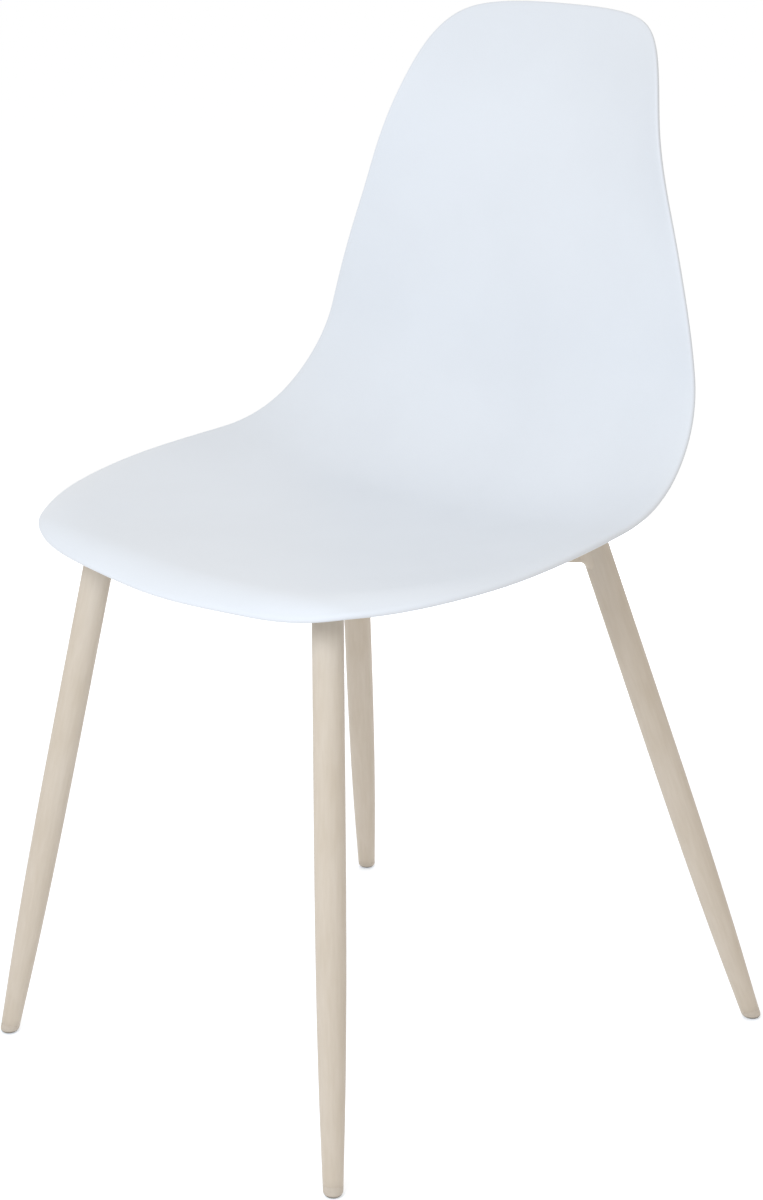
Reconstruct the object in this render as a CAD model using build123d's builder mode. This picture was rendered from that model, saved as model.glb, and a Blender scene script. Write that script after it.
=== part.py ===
"""Dining chair: a moulded seat shell screwed to a welded cross frame on four tapered tube legs.

Millimetres, +Z up, origin on the floor midway between the feet. The sitter faces -Y,
so +X is the sitter's left.
"""

import os
from math import cos, radians, sin

from build123d import *

os.makedirs("parts", exist_ok=True)

# Seat shell: wall
shell_wall = 5.0

# Seat shell: centre line seen from the side, from the front edge to the top of the back
lip_start_y = -250.5
lip_start_z = 427.0
lip_slope = 58.0
lip_radius = 60.0
lip_turn = 62.0
seat_length = 249.0
seat_turn = 9.0
bend_radius = 150.0
bend_turn = 75.0
back_length = 320.0
back_turn = 4.0

# Seat shell: radius of the cross section along the centre line, hollow upwards unless negative
front_edge_radius = -2200.0
crest_radius = 3150.0
mid_seat_radius = 1300.0
seat_end_radius = 1040.0
mid_bend_radius = 1050.0
bend_end_radius = 870.0
lumbar_radius = 500.0
shoulder_radius = 280.0
top_radius = 270.0
lumbar_height = 90.0
shoulder_height = 190.0

# Seat shell: half outline as (half width, distance) on a plane that leans back by outline_lean
outline_lean = 45.0
front_centre = (0, 146.5)
front_quarter = (82, 152)
front_corner = (172, 174)
seat_side = (233, 266)
hip = (230.5, 397)
waist = (201, 545)
back_side = (146, 675.5)
back_corner = (102.5, 755)
top_quarter = (55, 774)
top_centre = (0, 779)

# Shell bosses that stand on the cross frame
boss_height = 9.0
boss_diameter = 18.0
gusset_reach = 18.0
gusset_thickness = 3.0
gusset_rise = 3.0
gusset_count = 4

# Cross frame: rectangular tube rails
rail_width = 18.0
rail_height = 15.0
rail_wall = 1.5
rail_corner = 2.0
weld_fillet = 3.0
weld_gap = 0.15

# Legs: round tube, narrower towards the foot by the given drops in diameter
leg_diameter = 24.5
leg_wall = 1.5
upper_taper_drop = 0.8
lower_taper_drop = 3.5
foot_drop = 8.7
lower_taper_height = 88.0
upper_taper_height = 175.0
taper_height = 285.0
leg_top_gap = 12.0

# Legs: where their axes meet the floor and the middle of the rails
front_foot_x = 201.0
front_foot_y = -238.0
front_knee_x = 134.0
front_knee_y = -175.0
rear_foot_x = 239.0
rear_foot_y = 238.0
rear_knee_x = 143.0
rear_knee_y = 125.0

# Plastic plugs in the leg ends
plug_clearance = 0.15
glide_height = 6.0
glide_stem = 14.0
glide_round = 2.5
cap_thickness = 2.5
cap_stem = 12.0
cap_bevel = 1.0
cap_inset = 0.75

# Screws, washers and threaded inserts
screw_reach = 110.0
screw_diameter = 6.0
screw_end_gap = 0.5
screw_head_diameter = 11.0
screw_head_height = 3.5
screw_head_bevel = 1.2
socket_across_flats = 4.0
socket_depth = 2.0
screw_clearance = 0.3
thread_clearance = 0.1
washer_diameter = 14.0
washer_thickness = 1.5
insert_diameter = 9.0
insert_length = 9.0
insert_clearance = 0.1
insert_end_gap = 1.0
insert_groove_depth = 0.5
insert_groove_width = 2.0

UP = Vector(0, 0, 1)
SIDES = {"left": 1, "right": -1}


# Centre line of the seat shell, and how its cross section bends along it

with BuildLine(Plane.YZ) as centre_line:
    lip_rise = (cos(radians(lip_slope)), sin(radians(lip_slope)))
    lip = JernArc((lip_start_y, lip_start_z), lip_rise, lip_radius, -lip_turn)
    seat = JernArc(lip @ 1, lip % 1, seat_length / radians(seat_turn), seat_turn)
    bend = JernArc(seat @ 1, seat % 1, bend_radius, bend_turn)
    back = JernArc(bend @ 1, bend % 1, back_length / radians(back_turn), -back_turn)

spine = centre_line.wire()
seat_end = lip.length + seat.length
bend_end = seat_end + bend.length

section_places = [
    (0, 1 / front_edge_radius),
    (lip.length, 1 / crest_radius),
    (lip.length + seat.length / 2, 1 / mid_seat_radius),
    (seat_end, 1 / seat_end_radius),
    (seat_end + bend.length / 2, 1 / mid_bend_radius),
    (bend_end, 1 / bend_end_radius),
    (bend_end + lumbar_height, 1 / lumbar_radius),
    (bend_end + shoulder_height, 1 / shoulder_radius),
    (spine.length, 1 / top_radius),
]


def section_slope(index):
    """Rate at which the bow changes at one of the section places."""
    before = section_places[max(index - 1, 0)]
    after = section_places[min(index + 1, len(section_places) - 1)]
    return (after[1] - before[1]) / (after[0] - before[0])


def section_bow(distance):
    """One over the section radius at a distance along the spine, on a smooth curve."""
    last = len(section_places) - 2
    index = max(i for i in range(last + 1) if i == 0 or section_places[i][0] <= distance)
    start, bow_start = section_places[index]
    end, bow_end = section_places[index + 1]
    span = end - start
    t = (distance - start) / span
    bow = (
        (2 * t**3 - 3 * t**2 + 1) * bow_start
        + (t**3 - 2 * t**2 + t) * span * section_slope(index)
        + (3 * t**2 - 2 * t**3) * bow_end
        + (t**3 - t**2) * span * section_slope(index + 1)
    )
    flattest = 1 / (50 * spine.length)
    if abs(bow) < flattest:
        bow = flattest
    return bow


# Heights that follow from the shell: the bosses stand on the rails

rail_top_z = seat.bounding_box().min.Z - shell_wall - boss_height
rail_mid_z = rail_top_z - rail_height / 2
rail_bottom_z = rail_top_z - rail_height


# Legs

def leg_points(end, side):
    """A leg's foot on the floor, and the top end of its axis just under the shell."""
    if end == "front":
        foot = Vector(side * front_foot_x, front_foot_y, 0)
        knee = Vector(side * front_knee_x, front_knee_y, rail_mid_z)
    else:
        foot = Vector(side * rear_foot_x, rear_foot_y, 0)
        knee = Vector(side * rear_knee_x, rear_knee_y, rail_mid_z)
    reach = spine.bounding_box().max.Z / rail_mid_z
    side_view = Edge.make_line((0, foot.Y, foot.Z), (0, foot.Y + (knee.Y - foot.Y) * reach, knee.Z * reach))
    under_seat = min(hit.Z for hit in spine.intersect(side_view).vertices() if hit.Z > rail_mid_z)
    axis = (knee - foot).normalized()
    return foot, foot + axis * (under_seat / axis.Z - leg_top_gap)


legs = {f"{end}_{name}": leg_points(end, side) for end in ("front", "rear") for name, side in SIDES.items()}


def leg_axis(leg):
    foot, top = legs[leg]
    return Axis(foot, top - foot)


def leg_plane(leg):
    """A plane through the leg's axis, whose Y runs up the leg."""
    axis = leg_axis(leg)
    across = UP.cross(axis.direction).normalized()
    return Plane(origin=axis.position, x_dir=across, z_dir=across.cross(axis.direction))


def leg_end_plane(leg):
    """A plane square to the leg at the foot."""
    axis = leg_axis(leg)
    return Plane(origin=axis.position, z_dir=axis.direction)


def leg_length(leg):
    foot, top = legs[leg]
    return (top - foot).length


def leg_at_height(leg, z):
    foot, top = legs[leg]
    return foot + (top - foot) * (z / top.Z)


foot_diameter = leg_diameter - foot_drop


def leg_wall_line(inset):
    """Half profile of the leg from the foot to the end of its taper, moved in by inset."""
    outer = leg_diameter / 2 - inset
    points = [
        (outer - foot_drop / 2, 0),
        (outer - lower_taper_drop / 2, lower_taper_height),
        (outer - upper_taper_drop / 2, upper_taper_height),
        (outer, taper_height),
    ]
    foot_slope = (foot_drop - lower_taper_drop) / 2
    return Spline(*points, tangents=[(foot_slope, lower_taper_height), (0, 1)])


def make_leg(leg):
    """Tapered tube, open at both ends, with the foot end cut square above the glide."""
    end = leg_length(leg)
    with BuildPart() as tube:
        with BuildSketch(leg_plane(leg)):
            with BuildLine():
                outer = leg_wall_line(0)
                inner = leg_wall_line(leg_wall)
                Polyline(outer @ 1, (leg_diameter / 2, end), (leg_diameter / 2 - leg_wall, end), inner @ 1)
                Line(outer @ 0, inner @ 0)
            make_face()
        revolve(axis=leg_axis(leg))
        split(bisect_by=leg_end_plane(leg).offset(glide_height), keep=Keep.TOP)
    return tube.part


def make_glide(leg):
    """Plastic foot plug, cut level with the floor and rounded off round its edge."""
    pad = foot_diameter / 2
    stem = foot_diameter / 2 - leg_wall - plug_clearance
    with BuildPart() as glide:
        with BuildSketch(leg_plane(leg)):
            with BuildLine():
                Polyline(
                    (0, -glide_height),
                    (pad, -glide_height),
                    (pad, glide_height),
                    (stem, glide_height),
                    (stem, glide_height + glide_stem),
                    (0, glide_height + glide_stem),
                    close=True,
                )
            make_face()
        revolve(axis=leg_axis(leg))
        split(bisect_by=Plane.XY, keep=Keep.TOP)
        floor_face = glide.faces().sort_by(Axis.Z)[0]
        fillet(floor_face.edges(), radius=glide_round)
    return glide.part


def make_leg_cap(leg):
    """Plastic plug that closes the top of the tube."""
    end = leg_length(leg)
    cover = leg_diameter / 2 - cap_inset
    stem = leg_diameter / 2 - leg_wall - plug_clearance
    with BuildPart() as cap:
        with BuildSketch(leg_plane(leg)):
            with BuildLine():
                Polyline(
                    (0, end - cap_stem),
                    (stem, end - cap_stem),
                    (stem, end),
                    (cover, end),
                    (cover, end + cap_thickness - cap_bevel),
                    (cover - cap_bevel, end + cap_thickness),
                    (0, end + cap_thickness),
                    close=True,
                )
            make_face()
        revolve(axis=leg_axis(leg))
    return cap.part


# Cross frame: one rail runs from leg to leg, two half rails meet it at the crossing

rail_ends = {leg: leg_at_height(leg, rail_mid_z) for leg in legs}
long_rail_run = rail_ends["rear_left"] - rail_ends["front_right"]
crossing_share = -rail_ends["front_right"].X / long_rail_run.X
crossing = rail_ends["front_right"] + long_rail_run * crossing_share


def towards(leg):
    """Level direction from the crossing to a leg."""
    return (rail_ends[leg] - crossing).normalized()


def screw_plane(leg, z):
    """Level plane on the axis of the screw in a leg's rail."""
    point = crossing + towards(leg) * screw_reach
    return Plane(origin=(point.X, point.Y, z))


def make_rail(start, welded_legs, butt_plane=None):
    """Rectangular tube from start to its last leg, coped and welded to its legs and drilled."""
    run = rail_ends[welded_legs[-1]] - start
    section = Plane(origin=start, x_dir=run.cross(UP), z_dir=run)
    hole = screw_diameter / 2 + screw_clearance
    with BuildPart() as rail:
        with BuildSketch(section):
            RectangleRounded(rail_width, rail_height, rail_corner)
        extrude(amount=run.length)
        for leg in welded_legs:
            with BuildSketch(leg_end_plane(leg).offset(taper_height)):
                Circle(leg_diameter / 2)
            extrude(amount=leg_length(leg) - taper_height)
            welds = rail.edges(Select.LAST).filter_by(GeomType.CIRCLE, reverse=True)
            fillet(welds.filter_by(GeomType.LINE, reverse=True), radius=weld_fillet)
        for leg in welded_legs:
            with BuildSketch(leg_end_plane(leg)):
                Circle(leg_diameter / 2 + weld_gap)
            extrude(amount=2 * leg_length(leg), mode=Mode.SUBTRACT)
        with BuildSketch(section):
            RectangleRounded(rail_width - 2 * rail_wall, rail_height - 2 * rail_wall, rail_wall / 2)
        extrude(amount=run.length, mode=Mode.SUBTRACT)
        if butt_plane:
            split(bisect_by=butt_plane, keep=Keep.TOP)
        for leg in welded_legs:
            with BuildSketch(screw_plane(leg, rail_bottom_z)):
                Circle(hole)
            extrude(amount=rail_height, mode=Mode.SUBTRACT)
    return rail.part


def make_half_rail(leg):
    """Rail from the long rail's side face out to one leg."""
    side = UP.cross(long_rail_run).normalized()
    if side.dot(towards(leg)) < 0:
        side = side * -1
    butt_plane = Plane(origin=crossing + side * (rail_width / 2), z_dir=side)
    return make_rail(crossing, [leg], butt_plane)


# Fasteners

def make_screw(leg):
    """Button head screw with a hexagon socket, driven up through the rail into its insert."""
    head_top_z = rail_bottom_z - washer_thickness
    head_bottom = screw_plane(leg, head_top_z - screw_head_height)
    shank = washer_thickness + rail_height + insert_length - screw_end_gap
    with BuildPart() as screw:
        with BuildSketch(head_bottom):
            Circle(screw_head_diameter / 2)
        extrude(amount=screw_head_height)
        chamfer(screw.edges().sort_by(Axis.Z)[0], length=screw_head_bevel)
        with BuildSketch(screw_plane(leg, head_top_z)):
            Circle(screw_diameter / 2)
        extrude(amount=shank)
        with BuildSketch(head_bottom):
            RegularPolygon(socket_across_flats / 2, 6, major_radius=False)
        extrude(amount=socket_depth, mode=Mode.SUBTRACT)
    return screw.part


def make_washer(leg):
    with BuildPart() as washer:
        with BuildSketch(screw_plane(leg, rail_bottom_z - washer_thickness)):
            Circle(washer_diameter / 2)
            Circle(screw_diameter / 2 + screw_clearance, mode=Mode.SUBTRACT)
        extrude(amount=washer_thickness)
    return washer.part


def make_insert(leg):
    """Threaded bush with a groove round its middle, flush with the foot of its boss."""
    outer = insert_diameter / 2
    groove_start = (insert_length - insert_groove_width) / 2
    with BuildPart() as insert:
        with BuildSketch(screw_plane(leg, rail_top_z)):
            Circle(outer)
            Circle(screw_diameter / 2 + thread_clearance, mode=Mode.SUBTRACT)
        extrude(amount=insert_length)
        with BuildSketch(screw_plane(leg, rail_top_z + groove_start)):
            Circle(outer)
            Circle(outer - insert_groove_depth, mode=Mode.SUBTRACT)
        extrude(amount=insert_groove_width, mode=Mode.SUBTRACT)
    return insert.part


# Seat shell

half_outline = [
    front_centre,
    front_quarter,
    front_corner,
    seat_side,
    hip,
    waist,
    back_side,
    back_corner,
    top_quarter,
    top_centre,
]
other_half = [(-x, distance) for x, distance in reversed(half_outline[1:-1])]
blank_half_width = max(x for x, distance in half_outline) + 5 * shell_wall


def shell_sections(wall):
    """Cross sections of the shell, with its seat face on the spine, in order along the spine."""
    places = [
        (arc @ (step / steps), arc % (step / steps), start + arc.length * step / steps)
        for arc, steps, start in (
            (lip, 3, 0),
            (seat, 6, lip.length),
            (bend, 6, seat_end),
            (back, 8, bend_end),
        )
        for step in range(steps)
    ]
    places.append((back @ 1, back % 1, spine.length))
    sections = []
    for point, tangent, distance in places:
        radius = 1 / section_bow(distance)
        spread = blank_half_width / radius
        with BuildSketch(Plane(origin=point, x_dir=(1, 0, 0), z_dir=tangent * -1)) as section:
            with BuildLine():
                arcs = []
                for depth in (0, wall):
                    reach = (radius + depth) * sin(spread)
                    rise = radius - (radius + depth) * cos(spread)
                    arcs.append(ThreePointArc((-reach, rise), (0, -depth), (reach, rise)))
                Line(arcs[0] @ 0, arcs[1] @ 0)
                Line(arcs[0] @ 1, arcs[1] @ 1)
            make_face()
        sections.append(section.sketch)
    return sections


def boss_top(leg):
    """Height of the middle of the shell's wall over a screw."""
    screw = screw_plane(leg, rail_top_z).origin
    plumb = Edge.make_line((0, screw.Y, rail_top_z), (0, screw.Y, spine.bounding_box().max.Z))
    hit = min(spine.intersect(plumb).vertices(), key=lambda vertex: vertex.Z)
    distance = spine.length * spine.param_at_point(Vector(hit))
    return hit.Z + section_bow(distance) * screw.X**2 / 2 - shell_wall / 2


with BuildPart() as bosses:
    for leg in legs:
        height = boss_top(leg) - rail_top_z
        with BuildSketch(screw_plane(leg, rail_top_z)):
            Circle(boss_diameter / 2)
        extrude(amount=height)
        for turn in range(gusset_count):
            upright = screw_plane(leg, rail_top_z).rotated((0, 0, 45 + turn * 360 / gusset_count))
            with BuildSketch(Plane(origin=upright.origin, x_dir=upright.x_dir, z_dir=upright.y_dir * -1)):
                with BuildLine():
                    Polyline(
                        (0, gusset_rise),
                        (boss_diameter / 2, gusset_rise),
                        (gusset_reach, height - shell_wall),
                        (gusset_reach, height),
                        (0, height),
                        close=True,
                    )
                make_face()
            extrude(amount=gusset_thickness / 2, both=True)

with BuildPart() as seat_shell:
    loft(shell_sections(shell_wall))
    facing = Vector(0, -sin(radians(outline_lean)), cos(radians(outline_lean)))
    with BuildSketch(Plane(origin=(0, 0, 0), x_dir=(1, 0, 0), z_dir=facing)):
        with BuildLine():
            Spline(*half_outline, *other_half, periodic=True)
        make_face()
    extrude(amount=spine.bounding_box().max.Z, mode=Mode.INTERSECT)
    add(bosses.part)
    for leg in legs:
        with BuildSketch(screw_plane(leg, rail_top_z)):
            Circle(insert_diameter / 2 + insert_clearance)
        extrude(amount=insert_length + insert_end_gap, mode=Mode.SUBTRACT)


# Every piece goes to its own file

pieces = {
    "seat_shell": seat_shell.part,
    "long_rail": make_rail(rail_ends["front_right"], ["front_right", "rear_left"]),
    "front_left_half_rail": make_half_rail("front_left"),
    "rear_right_half_rail": make_half_rail("rear_right"),
}
for leg in legs:
    pieces[f"{leg}_leg"] = make_leg(leg)
    pieces[f"{leg}_glide"] = make_glide(leg)
    pieces[f"{leg}_leg_cap"] = make_leg_cap(leg)
    pieces[f"{leg}_screw"] = make_screw(leg)
    pieces[f"{leg}_washer"] = make_washer(leg)
    pieces[f"{leg}_insert"] = make_insert(leg)

for name, piece in pieces.items():
    piece.label = name
    export_step(piece, f"parts/{name}.step")
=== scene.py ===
"""Shell dining chair: the looks of a moulded chair on a welded, wood-look tube frame."""

import math

import bmesh
import bpy
import numpy as np
from bpy.props import FloatProperty, FloatVectorProperty, IntProperty, PointerProperty
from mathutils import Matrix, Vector


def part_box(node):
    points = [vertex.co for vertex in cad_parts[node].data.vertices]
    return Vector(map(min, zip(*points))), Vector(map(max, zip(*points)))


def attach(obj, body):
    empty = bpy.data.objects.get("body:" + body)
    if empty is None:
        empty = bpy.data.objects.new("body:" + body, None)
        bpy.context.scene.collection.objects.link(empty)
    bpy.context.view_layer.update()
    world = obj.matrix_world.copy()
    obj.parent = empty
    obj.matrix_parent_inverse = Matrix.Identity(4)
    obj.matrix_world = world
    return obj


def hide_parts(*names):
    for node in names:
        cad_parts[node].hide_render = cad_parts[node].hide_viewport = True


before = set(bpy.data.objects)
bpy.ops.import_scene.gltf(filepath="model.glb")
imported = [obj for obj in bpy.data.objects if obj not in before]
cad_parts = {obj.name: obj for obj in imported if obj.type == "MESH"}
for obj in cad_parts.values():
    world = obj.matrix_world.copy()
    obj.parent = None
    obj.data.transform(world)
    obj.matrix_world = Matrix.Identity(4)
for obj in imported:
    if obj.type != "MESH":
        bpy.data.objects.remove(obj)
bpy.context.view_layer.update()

bl_info = {
    "name": "Shell Dining Chair",
    "version": (1, 0, 0),
    "blender": (4, 5, 0),
    "location": "View3D > Sidebar > Dining Chair",
    "description": "Builds a moulded dining chair on tapered tube legs around its CAD frame",
    "category": "Object",
}

MM = 0.001
BODY = "root"
LEGS = ("front_left", "front_right", "rear_left", "rear_right")

# Centre line of the shell seen from the side: where it starts, then (length, turn) of each arc
LIP_START = (-250.5 * MM, 427.0 * MM)
LIP_SLOPE = math.radians(58)
LIP_RADIUS = 60 * MM
LIP_TURN = math.radians(-62)
SEAT_LENGTH = 249 * MM
SEAT_TURN = math.radians(9)
BEND_RADIUS = 150 * MM
BEND_TURN = math.radians(75)
BACK_LENGTH = 320 * MM
BACK_TURN = math.radians(-4)
SPINE_ARCS = (
    (-LIP_RADIUS * LIP_TURN, LIP_TURN),
    (SEAT_LENGTH, SEAT_TURN),
    (BEND_RADIUS * BEND_TURN, BEND_TURN),
    (BACK_LENGTH, BACK_TURN),
)

# Radius of the shell's cross section, in millimetres, at places along the centre line
SECTION_RADII = (-2200, 3150, 1300, 1040, 1050, 870, 500, 280, 270)
LUMBAR_HEIGHT = 90 * MM
SHOULDER_HEIGHT = 190 * MM

# One over the largest radius that a section is drawn with, where it is nearly flat
FLATTEST_BOW = 0.02

# Half outline of the shell, in millimetres, on a plane that leans back by 45 degrees
HALF_OUTLINE = (
    (0, 146.5),
    (82, 152),
    (172, 174),
    (233, 266),
    (230.5, 397),
    (201, 545),
    (146, 675.5),
    (102.5, 755),
    (55, 774),
    (0, 779),
)

# Directions up the leaning plane and square to it
UPHILL = np.array([0, 1, 1]) / math.sqrt(2)
FACING = np.array([0, -1, 1]) / math.sqrt(2)

# Points of the half outline at which the corners of the shell's mesh lie, and rows round its rim
FRONT_CORNER = 2
BACK_CORNER = 7
RIM_ROWS = 9

# Roll of the shell's edge, in millimetres, by the height of the edge on the leaning plane:
# height, width of the rolled band, drop of the edge, lift of the crest beside it, growth outwards
EDGE_ROLL = (
    (146.5, 36, 2.5, 0.0, 0.0),
    (160, 40, 9.0, 6.0, 0.0),
    (195, 36, 13.0, 9.5, 0.0),
    (235, 32, 10.5, 8.0, 1.0),
    (285, 24, 5.5, 3.2, 1.6),
    (350, 15, 1.8, 0.3, 1.0),
    (430, 12, 1.0, 0.0, 1.3),
    (560, 12, 1.0, 1.0, 1.8),
    (710, 12, 1.0, 1.7, 1.8),
    (779, 12, 1.0, 0.8, 0.7),
)
CREST_REACH = 80 * MM

# How far past its ends the centre line is searched, how often the search is halved, the fine
# steps in which a side of the outline is measured, and the stretch of the seat over the bosses
SEARCH_BEFORE = 30 * MM
SEARCH_BEYOND = 20 * MM
SEARCH_STEPS = 40
OUTLINE_STEPS = 400
SEAT_STRETCH = (50 * MM, 500 * MM)
SEAT_STEPS = 2000

# Leg axes: foot on the floor, and knee at the middle of the rails
FRONT_FOOT = (201 * MM, -238 * MM)
FRONT_KNEE = (134 * MM, -175 * MM)
REAR_FOOT = (239 * MM, 238 * MM)
REAR_KNEE = (143 * MM, 125 * MM)

# Taper of the legs over the foot, in millimetres: height, and drop in diameter
LEG_TAPER = ((88, 3.5), (175, 0.8), (285, 0.0))

# Ring on the straight tube over the taper, softening of the tube's ends, radius of the circle
# that the tube's wall is swept round, and the attribute that its grain follows
STRAIGHT_RING = 360 * MM
END_SOFTENING = 0.05 * MM
TURNING_RADIUS = 10 * MM
TUBE_PLACE = "along_tube"

# Cross frame: the inserts stand on the rails, and the screws hang under the washers
RAIL_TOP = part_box("front_left_insert")[0][2]
RAIL_HEIGHT = 15 * MM
RAIL_WIDTH = 18 * MM
RAIL_CORNER = 2 * MM
RAIL_MIDDLE = RAIL_TOP - RAIL_HEIGHT / 2
WASHER_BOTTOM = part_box("front_left_washer")[0][2]
SCREW_REACH = 110 * MM

# Heights between which the dirt and the painted contact shadow on the glides fade out
DIRT_AND_SHADE_LOW = 1.6 * MM
DIRT_AND_SHADE_HIGH = 3.4 * MM

# Mesh faces round the turned pieces, rings of a leg's taper, points along a weld bead and how
# deep its ripples are, directions of a boss's gussets in degrees, and how near points are merged
LEG_SIDES = 72
BOSS_SIDES = 40
GLIDE_SIDES = 48
SCREW_SIDES = 48
BEAD_SIDES = 20
TAPER_RINGS = 40
BEAD_POINTS = 60
RIPPLE_DEPTH = 0.16
GUSSET_ANGLES = (45, 135, 225, 315)
MERGE_DISTANCE = 0.001 * MM

# Stage: the point that the lamps face, and where the lamps and the camera stand
SEAT_MIDDLE = (0, -0.1, 0.45)
KEY_PLACE = (0.45, -1.4, 1.3)
BACK_PLACE = (-1.0, 1.3, 0.4)
CAMERA_PLACE = (1.5928, -1.5885, 1.0992)
CAMERA_DIP = math.radians(17.65)
CAMERA_TURN = math.radians(44.76)
SENSOR_WIDTH = 36
FLOOR_RADIUS = 30
UP = Vector((0, 0, 1))


class Socket:
    """A node's output, which adds Math nodes where it is used in an expression."""

    def __init__(self, graph, output):
        self.graph = graph
        self.output = output

    def __add__(self, other):
        return self.graph.math("ADD", self, other)

    def __sub__(self, other):
        return self.graph.math("SUBTRACT", self, other)

    def __rsub__(self, other):
        return self.graph.math("SUBTRACT", other, self)

    def __mul__(self, other):
        return self.graph.math("MULTIPLY", self, other)

    def __truediv__(self, other):
        return self.graph.math("DIVIDE", self, other)

    def __rtruediv__(self, other):
        return self.graph.math("DIVIDE", other, self)

    __radd__ = __add__
    __rmul__ = __mul__


class Graph:
    """A node tree, for a shader or for geometry."""

    def __init__(self, tree):
        self.tree = tree

    def node(self, kind, sockets=None, output=0, **settings):
        """Adds a node: first its settings, then the values or links of its sockets."""
        node = self.tree.nodes.new(kind)
        for name, value in settings.items():
            setattr(node, name, value)
        for name, value in (sockets or {}).items():
            if isinstance(value, Socket):
                self.tree.links.new(value.output, node.inputs[name])
            else:
                node.inputs[name].default_value = value
        return Socket(self, node.outputs[output]) if node.outputs else node

    def math(self, operation, first, second=0.0):
        return self.node("ShaderNodeMath", {0: first, 1: second}, operation=operation)

    def mix(self, factor, first, second):
        """Colour between two colours."""
        sockets = {"Factor": factor, 6: first, 7: second}
        return self.node("ShaderNodeMix", sockets, 2, data_type="RGBA")

    def noise(self, vector, scale, detail=2.0, roughness=0.5):
        sockets = {"Vector": vector, "Scale": scale, "Detail": detail, "Roughness": roughness}
        return self.node("ShaderNodeTexNoise", sockets)

    def span(self, value, low, high, to_low=0.0, to_high=1.0):
        """Maps a range of a value to another range, and keeps it inside."""
        sockets = {0: value, 1: low, 2: high, 3: to_low, 4: to_high}
        return self.node("ShaderNodeMapRange", sockets)

    def stretched(self, vector, length, turn=(0, 0, 0)):
        """Coordinates turned and then stretched in z, for a pattern that runs one way."""
        sockets = {"Vector": vector, "Rotation": turn, "Scale": (1, 1, length)}
        return self.node("ShaderNodeMapping", sockets, vector_type="TEXTURE")


class Finish(Graph):
    """A material made of one principled shader."""

    def __init__(self, name):
        self.material = bpy.data.materials.new(name)
        self.material.use_nodes = True
        self.material.node_tree.nodes.clear()
        super().__init__(self.material.node_tree)

    def place(self):
        return self.node("ShaderNodeTexCoord", output="Object")

    def bump(self, height, strength, depth):
        sockets = {"Height": height, "Strength": strength, "Distance": depth}
        return self.node("ShaderNodeBump", sockets)

    def surface(self, colour, roughness, relief, others=None):
        """Joins the shader to the material's output."""
        sockets = {"Base Color": colour, "Roughness": roughness, "Normal": relief}
        shader = self.node("ShaderNodeBsdfPrincipled", sockets | (others or {}))
        self.node("ShaderNodeOutputMaterial", {"Surface": shader})
        return self.material


def linear(red, green, blue):
    """Colour values as a shader takes them, from the 0 to 255 of a colour picker."""
    parts = (part / 255 for part in (red, green, blue))
    return tuple(part / 12.92 if part <= 0.04045 else ((part + 0.055) / 1.055) ** 2.4 for part in parts)


def shade(colour, part=1.0):
    """Colour for a socket, darkened to a part of its value."""
    return (*(value * part for value in colour), 1)


def colour_property(name, description, red, green, blue):
    return FloatVectorProperty(
        name=name,
        description=description,
        subtype="COLOR",
        size=3,
        min=0,
        max=1,
        default=linear(red, green, blue),
    )


def length_property(name, description, millimetres):
    return FloatProperty(
        name=name,
        description=description,
        subtype="DISTANCE",
        unit="LENGTH",
        min=0,
        default=millimetres * MM,
    )


class ShellSettings(bpy.types.PropertyGroup):
    """Sizes and colours of the seat shell."""

    wall: length_property("Wall", "Thickness of the moulded wall", 5.0)
    rim_inset: length_property("Rim inset", "How far in from its edge the wall starts to round off", 3.0)
    boss_diameter: length_property("Boss diameter", "Diameter of the bosses under the seat", 18.0)
    gusset_reach: length_property("Gusset reach", "Reach of a boss's gussets from its middle", 18.0)
    gusset_thickness: length_property("Gusset thickness", "Thickness of a boss's gussets", 3.0)
    gusset_rise: length_property("Gusset rise", "Height of a gusset's foot over the rail", 3.0)
    columns: IntProperty(name="Columns", description="Mesh faces across the shell", default=84, min=8)
    rows: IntProperty(name="Rows", description="Mesh faces along the shell", default=150, min=8)
    colour: colour_property("Shell", "Colour of the moulded plastic", 230, 236, 243)


class FrameSettings(bpy.types.PropertyGroup):
    """Sizes and colours of the legs, rails and small parts."""

    leg_diameter: length_property("Leg diameter", "Outside diameter of the leg tube", 24.5)
    foot_diameter: length_property("Foot diameter", "Outside diameter of the leg tube at the floor", 15.8)
    leg_wall: length_property("Leg wall", "Wall of the leg tube", 1.5)
    glide_height: length_property("Glide height", "Height of the glide under the tube, along the leg", 8.5)
    glide_round: length_property("Glide rounding", "Radius round the bottom of the glides", 4.5)
    bead_width: length_property("Weld bead", "Width of the weld beads at the crossing", 4.0)
    bead_pitch: length_property("Bead pitch", "Length of a ripple along a weld bead", 1.6)
    weld_rise: length_property("Weld rise", "Radius of the leg welds over and under a rail", 6.0)
    weld_side: length_property("Weld side", "How far the leg welds swell at a rail's sides", 2.2)
    coating: colour_property("Coating", "Colour of the wood-look coating", 216, 206, 192)
    grain: colour_property("Grain", "Colour of the coating's darker grain", 196, 183, 163)
    plug: colour_property("Plugs", "Colour of the glides and caps", 206, 196, 182)
    steel: colour_property("Steel", "Colour of the zinc plated screws", 186, 187, 190)
    brass: colour_property("Brass", "Colour of the threaded inserts", 202, 170, 98)


class StageSettings(bpy.types.PropertyGroup):
    """Camera, lamps and floor."""

    lens: FloatProperty(name="Lens", description="Focal length", subtype="DISTANCE_CAMERA", default=84.78)
    room: colour_property("Room light", "Colour and level of the even light all round", 216, 211, 205)
    key: colour_property("Key lamp", "Colour and level of the softbox in front", 169, 176, 185)
    back: colour_property("Back lamp", "Colour and level of the softbox behind", 136, 138, 141)
    lamp_size: length_property("Softbox", "Diameter of the softboxes", 800)
    floor: colour_property("Floor", "Colour of the floor", 246, 246, 247)


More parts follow.
